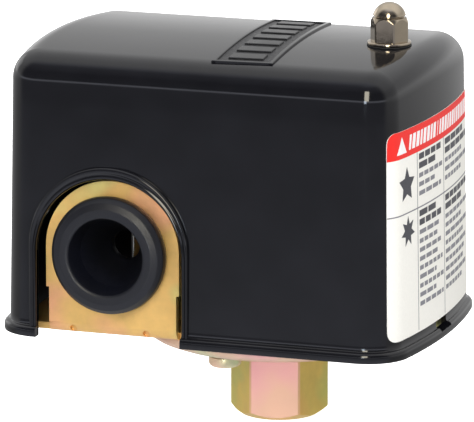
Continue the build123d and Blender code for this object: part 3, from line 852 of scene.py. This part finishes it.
def text_rows(start, end, top, bottom, ink, seed):
    """Word-like blocks: two bold rows, then fine rows down to the bottom."""
    blocks = []
    row = 0
    z = top - 1.6
    while z > bottom:
        bold = row < 2
        high = 1.45 if bold else 1.05
        place = start
        last = end - (end - start) * 0.35 * math.sin(1.7 * row + seed) ** 2
        word = 0
        while place < last - 1.0:
            length = (3.2 if bold else 2.0) + 2.2 * math.sin(3.1 * word + 1.3 * row + seed) ** 2
            stop = min(place + length, last)
            ink_name = "label_dark" if bold else "label_grey"
            blocks.append(decal("word", rectangle(place, stop, z, z + high), ink, ink_name))
            place = stop + 0.7
            word += 1
        z -= LINE_PITCH
        row += 1
    return blocks


def make_label():
    left = -LABEL_REACH
    right = LABEL_REACH
    corners = rectangle(left, right, LABEL_Z0, LABEL_Z1)
    outline = [tuple(p) for p in rounded(corners, 3.0, 8)]
    sheet = decal("label_sheet", outline, LABEL_THICK, "label", 0.14)
    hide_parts("cover_label")
    band = [(left, HEADER_Z), (right, HEADER_Z)]
    band += [(a, z) for a, z in outline if z > HEADER_Z]
    header = decal("label_header", band, LABEL_THICK + 0.02, "label_red")
    ink = LABEL_THICK + 0.04
    heading = heading_marks(left, right, ink)
    rules = []
    for a in COLUMNS:
        line = rectangle(a, a + 0.25, LABEL_Z0 + 0.5, HEADER_Z)
        rules.append(decal("label_rules", line, ink, "label_grey"))
    line = rectangle(left, right, DIVIDER_Z, DIVIDER_Z + 0.3)
    rules.append(decal("rule", line, ink, "label_grey"))
    ruled = join(*rules)
    blocks = []
    spans = ((COLUMNS[0] + 1.2, COLUMNS[1] - 0.8), (COLUMNS[1] + 1.3, right - 4.0))
    for seed, (start, end) in enumerate(spans):
        blocks += text_rows(start, end, HEADER_Z - 0.4, DIVIDER_Z + 0.8, ink, seed)
        blocks += text_rows(start, end, DIVIDER_Z - 0.5, LABEL_Z0 + 4.5, ink, seed + 2)
    bold = [b for b in blocks if b.data.materials[0] == MATERIALS["label_dark"]]
    fine = [b for b in blocks if b.data.materials[0] == MATERIALS["label_grey"]]
    text = join(*fine)
    text.name = "label_lines"
    titles = join(*bold)
    titles.name = "label_titles"
    signs = [
        decal("label_signs", sign_outline(-22.9, 63.0, 4.3, 5), ink, "label_dark"),
        decal("sign", sign_outline(-22.5, 51.9, 3.7, 7), ink, "label_dark"),
    ]
    icons = join(*signs)
    for piece in (sheet, header, heading, ruled, text, titles, icons):
        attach(piece, "cover")


def sign_outline(a, z, size, points):
    """A plain many-pointed star."""
    outline = []
    for i in range(2 * points):
        r = size if i % 2 == 0 else 0.5 * size
        angle = math.pi * i / points + math.pi / 2
        outline.append((a + r * math.cos(angle), z + r * math.sin(angle)))
    return outline


# ------------------------------------------------------------------ fittings
NUT_FLATS = 8.15
NUT_TURN = math.radians(1.2)
NUT_HEX_TOP = 98.0
NUT_DOME_R = 4.05
NUT_RING_R = 5.2
NUT_RING_THICK = 0.8
NUT_BORE_R = 2.5
PORT_TOP = 17.2


def make_nut():
    """The acorn nut: a flange ring, a hexagon rounded off at its top, and a dome."""
    corner = NUT_FLATS / math.sqrt(3)
    ring_low = nut_low.z
    ring_top = ring_low + NUT_RING_THICK
    dome_z = nut_high.z - NUT_DOME_R
    ring = rectangle(NUT_BORE_R, NUT_RING_R, 0, NUT_RING_THICK)
    foot = lathe("cover_nut_bright", ring, Vector((NUT_X, 0, ring_low)), UP, 0.32, 96)
    levels = [(ring_top - 0.2, corner)]
    levels += [(ring_top + 0.05 + 0.02 * i, corner - 0.25 + 0.05 * i) for i in range(6)]
    for i in range(14):
        share = i / 13
        limit = corner - (corner - NUT_DOME_R) * share
        levels.append((NUT_HEX_TOP - 1.2 + 1.2 * share, limit))
    verts, faces = hex_solid(NUT_X, NUT_FLATS, NUT_TURN, levels, 0.12)
    body = mesh_object("hex", verts, faces, smooth_angle=20)
    dome = [(0.001, NUT_HEX_TOP - 1.5), (3.9, NUT_HEX_TOP - 1.5)]
    dome += [(3.9, NUT_HEX_TOP), (3.4, NUT_HEX_TOP + 0.3)]
    for i in range(17):
        angle = math.radians(14 + 76 * i / 16)
        r = max(0.001, NUT_DOME_R * math.cos(angle))
        dome.append((r, dome_z + NUT_DOME_R * math.sin(angle)))
    cap = lathe("cap", dome, Vector((NUT_X, 0, 0)), UP, 0.1, 96)
    nut = join(foot, body, cap)
    dress(nut, "nickel")
    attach(nut, "cover_nut")
    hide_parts("cover_nut")
    # A hair short of the nut's ring, so that the two never share a plane as the nut turns.
    thick = washer_high.z - washer_low.z - 0.02
    rim = (washer_high.x - washer_low.x) / 2
    washer = rectangle(NUT_BORE_R, rim, 0, thick)
    seal = lathe("seal_washer_rubber", washer, Vector((NUT_X, 0, washer_low.z)), UP, 0.06, 96)
    dress(seal, "washer_rubber")
    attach(seal, "seal_washer")
    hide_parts("cover_seal_washer")


def make_grommet(side):
    """Rubber grommet: rounded flange, grooved body and a funnel with a cable hole."""
    name = "front" if side < 0 else "back"
    face = -grommet_low.y
    plate_out = -ear_low.y
    plate_in = plate_out - PLATE
    tip = -grommet_high.y
    flange = [
        (9.35, face), (11.5, face), (13.0, face - 0.6), (14.0, face - 1.8), (14.2, face - 3.1),
        (13.9, face - 4.4), (13.6, plate_out + 0.02),
    ]
    groove = [(11.1, plate_out), (11.1, plate_in), (12.4, plate_in - 0.02)]
    cone = [(11.6, plate_in - 1.8), (6.2, tip), (3.5, tip), (3.5, tip + 2.5), (8.0, 31.0), (8.8, 34.2)]
    centre = Vector((CONDUIT_X, 0, CONDUIT_Z))
    outline = flange + groove + cone
    grommet = lathe(f"rubber_grommet_{name}", outline, centre, Vector((0, side, 0)), 0.9, 160)
    dress(grommet, "rubber")
    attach(grommet, "base")
    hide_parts(f"grommet_{name}")


def make_dish():
    """The dished flange between the base and the connector."""
    rim = dish_high.x
    top = dish_high.z
    outline = [
        (8.6, PORT_TOP), (21.3, PORT_TOP), (28.6, 19.1), (30.8, 19.95), (31.8, 20.6), (rim, 21.4),
        (rim, top), (25.0, top), (25.0, 21.5), (15.0, 21.5), (15.0, 19.0), (8.6, 19.0),
    ]
    dish = lathe("housing_dish", outline, Vector((0, 0, 0)), UP, 0.6, 200)
    dress(dish, "zinc_dish")
    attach(dish, "base")
    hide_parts("diaphragm_housing")


def make_port():
    """The hexagonal connector with its chamfers and a threaded bore."""
    flats = 20.6
    corner = flats / math.sqrt(3)
    bore = 5.7
    depth = 13.0
    pitch = 25.4 / 18
    thread = 0.55
    levels = []
    low_r = flats / 2 - 0.9
    rise = (corner - flats / 2 + 0.9) * math.tan(math.radians(35))
    for i in range(25):
        t = i / 24
        levels.append((rise * t, low_r + (corner - low_r) * t))
    levels += [(rise + (PORT_TOP - rise) * i / 8, corner) for i in range(1, 9)]
    segments = 240
    hexagon = hex_solid(0, flats, HEX_TURN, levels, 0.18, segments)
    rings = [hexagon[0][:segments]]
    for r, z in ((bore + 0.9, 0.0), (bore + 0.6, 0.02), (bore + 0.3, 0.3), (bore, 0.6)):
        rings.append(level_ring(0, z, segments, lambda i: r))
    z = 0.6
    while z < depth - 0.6:
        fade = min(1.0, (z - 0.6) / 0.8, (depth - 0.6 - z) / 0.8)

        def thread_radius(i):
            phase = (z / pitch + i / segments) % 1.0
            return bore - thread * (1 - abs(2 * phase - 1)) * fade

        rings.append(level_ring(0, z, segments, thread_radius))
        z += pitch / 8
    for r, z in ((bore, depth), (2.2, depth + 1.0), (2.2, PORT_TOP)):
        rings.append(level_ring(0, z, segments, lambda i: r))
    rings.append(hexagon[0][-segments:])
    verts, faces = together(hexagon, ring_stack(rings))
    port = mesh_object("port_connector", verts, faces, smooth_angle=20, merge=0.003)
    dress(port, "zinc_hex")
    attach(port, "base")
    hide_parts("port_fitting")


# ------------------------------------------------------------------ springs
def helix_tube(name, x, mean_r, wire_r, z0, z1, turns, part, per_turn=48, sides=12):
    """Part of a coil spring; part is the (start, end) share of its height."""
    rings = []
    steps = int(turns * per_turn * (part[1] - part[0]))
    rise = z1 - z0 - 2 * wire_r
    for i in range(steps + 1):
        t = part[0] + (part[1] - part[0]) * i / steps
        angle = math.tau * turns * t
        cosine = math.cos(angle)
        sine = math.sin(angle)
        radial = Vector((cosine, sine, 0))
        centre = Vector((x + mean_r * cosine, mean_r * sine, z0 + wire_r + rise * t))
        ring = []
        for k in range(sides):
            turn = math.tau * k / sides
            ring.append(centre + wire_r * (radial * math.cos(turn) + UP * math.sin(turn)))
        rings.append(ring)
    verts, faces = ring_stack(rings, capped=True)
    return mesh_object(name, verts, faces, smooth_angle=60)


def make_springs():
    for name, low, high, wire_r, turns, seat in (
        ("range", range_low, range_high, 1.2, 6, "range_seat"),
        ("differential", diff_low, diff_high, 0.55, 8, "differential_seat"),
    ):
        x = (low.x + high.x) / 2
        mean_r = (high.x - low.x) / 2 - wire_r
        lower = helix_tube(f"{name}_spring_lower", x, mean_r, wire_r, low.z, high.z, turns, (0, 0.5))
        upper = helix_tube(f"{name}_spring_upper", x, mean_r, wire_r, low.z, high.z, turns, (0.5, 1))
        for half in (lower, upper):
            dress(half, "spring_steel")
        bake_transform(lower)
        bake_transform(upper)
        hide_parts(f"{name}_spring")
        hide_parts(f"{name}_spring")


def threaded_rod(name, x, major_r, pitch, z0, z1, depth, segments=40, per_pitch=6):
    """A rod with a helical thread and plain ends."""
    rings = []
    steps = int((z1 - z0) / pitch * per_pitch)
    for i in range(steps + 1):
        z = z0 + (z1 - z0) * i / steps
        fade = min(1.0, (z - z0) / pitch, (z1 - z) / pitch)

        def thread_radius(k):
            phase = (z / pitch - k / segments) % 1.0
            return major_r - depth * abs(2 * phase - 1) * fade - depth * (1 - fade)

        rings.append(level_ring(x, z, segments, thread_radius))
    verts, faces = ring_stack(rings, capped=True)
    return mesh_object(name, verts, faces, smooth_angle=50)


def make_stud(name, x, major_r, pitch, depth, top, flats, height):
    """A threaded stud with a plain root through the floor and a hexagonal collar."""
    corner = flats / math.sqrt(3)
    z = FLOOR_TOP
    rod = threaded_rod(name, x, major_r, pitch, z + 0.7 * height, top, depth)
    shank = rectangle(0.001, major_r - 0.02, 0, 4)
    root = lathe("root", shank, Vector((x, 0, FLOOR_Z)), UP)
    levels = [
        (z, flats / 2), (z + 0.2, corner), (z + height - 0.2, corner),
        (z + height, flats / 2), (z + height, 0.01),
    ]
    verts, faces = hex_solid(x, flats, math.radians(30), levels)
    collar = mesh_object("collar", verts, faces, smooth_angle=25)
    return join(rod, root, collar)


def make_studs():
    tall = make_stud(
        "range_stud_thread", NUT_X, major_r=3.175, pitch=1.27, depth=0.42,
        top=76.0, flats=10.0, height=2.6,
    )
    tip = threaded_rod("tip", NUT_X, 2.4, 25.4 / 24, 75.9, 99.0, 0.34)
    tall = join(tall, tip)
    small = make_stud(
        "differential_stud_thread", DIFF_X, major_r=2.0, pitch=0.794, depth=0.28,
        top=58.0, flats=7.0, height=2.0,
    )
    for piece, node in ((tall, "range_stud"), (small, "differential_stud")):
        dress(piece, "steel")
        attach(piece, "base")
        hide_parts(node)


# ------------------------------------------------------------------ CAD nodes
CAD_MATERIALS = {
    "base_frame": "zinc_base",
    "housing_screws": "zinc_dish",
    "diaphragm": "washer_rubber",
    "ground_screw_front": "green_zinc",
    "ground_screw_back": "green_zinc",
    "operating_lever": "zinc_base",
    "actuator_piston": "acetal",
    "lever_pivot_pin": "steel",
    "range_spring_seat": "steel",
    "range_nut": "steel",
    "differential_seat": "steel",
    "differential_nut": "steel",
    "terminal_block": "phenolic",
    "block_screws": "steel",
    "fixed_contacts": "silver",
    "moving_contacts": "silver",
    "carrier_bracket": "zinc_base",
    "carrier_pivot_pin": "steel",
    "contact_carrier": "brown_phenolic",
    "contact_bridge_front": "copper",
    "contact_bridge_back": "copper",
    "contact_springs": "spring_steel",
    "snap_spring": "spring_steel",
}
UNBEVELLED = ("contact_springs", "snap_spring", "fixed_contacts", "moving_contacts")


def dress_cad():
    """Materials and eased edges for the nodes that keep their CAD meshes."""
    names = dict(CAD_MATERIALS)
    for i in range(1, 5):
        names[f"terminal_plate_{i}"] = "brass"
        names[f"terminal_clamp_{i}"] = "steel"
        names[f"terminal_screw_{i}"] = "brass"
    for name, material in names.items():
        node = NODES[name]
        dress(node, material)
        if name not in UNBEVELLED:
            weld = node.modifiers.new("weld", "WELD")
            weld.merge_threshold = 0.01 * MM
            bevel = node.modifiers.new("edge", "BEVEL")
            bevel.width = 0.15 * MM
            bevel.segments = 2
            bevel.limit_method = "ANGLE"
            bevel.angle_limit = math.radians(35)


# ------------------------------------------------------------------ studio
VIEW_AZIMUTH = math.radians(18.93)
VIEW_ELEVATION = math.radians(12.57)
VIEW_DISTANCE = 1.311
VIEW_TARGET = Vector((-0.00988, 0, 0.050))
VIEW_LENS = 415.2
VIEW_SHIFT = (-0.00774, -0.01306)
SENSOR = 36.0


def make_camera():
    camera = add_object("camera", bpy.data.cameras.new("camera"))
    back = Vector((
        math.sin(VIEW_AZIMUTH) * math.cos(VIEW_ELEVATION),
        -math.cos(VIEW_AZIMUTH) * math.cos(VIEW_ELEVATION),
        math.sin(VIEW_ELEVATION),
    ))
    camera.location = VIEW_TARGET + back * VIEW_DISTANCE
    camera.rotation_euler = back.to_track_quat("Z", "Y").to_euler()
    camera.data.sensor_width = SENSOR
    camera.data.lens = VIEW_LENS
    camera.data.shift_x = VIEW_SHIFT[0]
    camera.data.shift_y = VIEW_SHIFT[1]
    camera.data.clip_end = 20
    bpy.context.scene.camera = camera


# Brightness of the studio by the height of the direction, from straight down to up.
FRONT_SKY = [
    (-1, 0.5), (-0.45, 0.42), (-0.3, 0.33), (-0.205, 0.29), (-0.155, 0.12), (-0.05, 0.12),
    (-0.01, 0.8), (0.03, 0.8), (0.07, 0.06), (0.5, 0.03), (0.8, 0.12), (1, 0.6),
]
REAR_SKY = [
    (-1, 0.5), (-0.45, 0.25), (-0.25, 0.18), (-0.05, 0.4), (0.05, 0.5), (0.2, 0.36),
    (0.4, 0.36), (0.6, 0.5), (0.9, 0.62), (1, 0.6),
]


def make_world():
    """White to the camera; else a studio: dark in front above the horizon, pale behind."""
    world = bpy.data.worlds.new("studio")
    world.use_nodes = True
    bpy.context.scene.world = world
    world.node_tree.nodes.clear()
    place = add_node(world, "ShaderNodeTexCoord")
    split = add_node(world, "ShaderNodeSeparateXYZ")
    link(world, place.outputs["Generated"], split.inputs["Vector"])
    height = add_node(world, "ShaderNodeMapRange", (("From Min", -1), ("From Max", 1)))
    link(world, split.outputs["Z"], height.inputs["Value"])

    def sky(stops, tint):
        colors = [((z + 1) / 2, [value * c for c in tint]) for z, value in stops]
        return ramp(world, height.outputs["Result"], colors)

    span = (("From Min", -0.45), ("From Max", -0.05))
    side = add_node(world, "ShaderNodeMapRange", span, interpolation_type="SMOOTHSTEP")
    link(world, split.outputs["Y"], side.inputs["Value"])
    mix = add_node(world, "ShaderNodeMix", data_type="RGBA")
    link(world, side.outputs["Result"], mix.inputs["Factor"])
    link(world, sky(FRONT_SKY, (0.94, 0.97, 1.1)), mix.inputs[6])
    link(world, sky(REAR_SKY, (1.0, 1.0, 1.0)), mix.inputs[7])
    studio = add_node(world, "ShaderNodeBackground", (("Strength", 2.0),))
    link(world, mix.outputs[2], studio.inputs["Color"])
    values = (("Color", (1, 1, 1, 1)), ("Strength", 1.0))
    white = add_node(world, "ShaderNodeBackground", values)
    path = add_node(world, "ShaderNodeLightPath")
    choose = add_node(world, "ShaderNodeMixShader")
    link(world, path.outputs["Is Camera Ray"], choose.inputs["Fac"])
    link(world, studio.outputs["Background"], choose.inputs[1])
    link(world, white.outputs["Background"], choose.inputs[2])
    output = add_node(world, "ShaderNodeOutputWorld")
    link(world, choose.outputs["Shader"], output.inputs["Surface"])


LIGHT_AIM = Vector((-0.01, 0, 0.05))
WHITE = (1, 1, 1)
# Name, place, size, watts, colour, seen in reflections, lights matt surfaces.
LIGHTS = (
    ("key", (0.72, -0.62, 0.85), (0.35, 0.35), 10, WHITE, False, True),
    ("front_fill", (0.1, -1.2, 0.5), (0.8, 0.8), 8, WHITE, False, True),
    ("left_fill", (-0.8, -0.5, 0.4), (0.5, 0.5), 4, WHITE, False, True),
    ("warm_strip", (0.2, -1.09, 0.51), (0.3, 0.8), 9, (1, 0.93, 0.76), True, False),
    ("cool_glint", (0.12, -1.15, 0.07), (0.15, 0.15), 1.0, (0.75, 0.87, 1), True, False),
    ("left_glow", (-1.05, 0.55, 0.38), (0.6, 0.5), 0.8, WHITE, True, False),
)


def make_lights():
    for name, place, size, power, color, glossy, diffuse in LIGHTS:
        light = bpy.data.lights.new(name, "AREA")
        light.shape = "RECTANGLE"
        light.size, light.size_y = size
        light.energy = power
        light.color = color
        thing = add_object(name, light)
        thing.location = place
        thing.rotation_euler = (Vector(place) - LIGHT_AIM).to_track_quat("Z", "Y").to_euler()
        thing.visible_glossy = glossy
        thing.visible_diffuse = diffuse


def make_floor():
    material = new_material("floor_paper", (0.93, 0.93, 0.93), 0.9)
    shader = shader_of(material)
    shader.inputs["Specular IOR Level"].default_value = 0.1
    shader.inputs["Emission Color"].default_value = (1, 1, 1, 1)
    shader.inputs["Emission Strength"].default_value = 1.0
    whites = [(0.3, (0.91, 0.91, 0.91)), (0.7, (0.94, 0.94, 0.94))]
    base_color(material, ramp(material, object_noise(material, 8, 3), whites))
    size = 6000
    corners = [(x, y, -0.2) for x, y in rectangle(-size, size, -size, size)]
    floor = mesh_object("studio_floor", corners, [(0, 1, 2, 3)])
    floor.data.materials.append(material)
    floor.visible_glossy = False
    floor.visible_diffuse = False


def main():
    make_cover()
    make_stamp()
    make_label()
    make_nut()
    make_grommet(-1)
    make_grommet(1)
    make_dish()
    make_port()
    make_springs()
    make_studs()
    dress_cad()
    make_camera()
    make_world()
    make_floor()
    make_lights()
    bpy.context.scene.view_settings.view_transform = "Standard"


main()
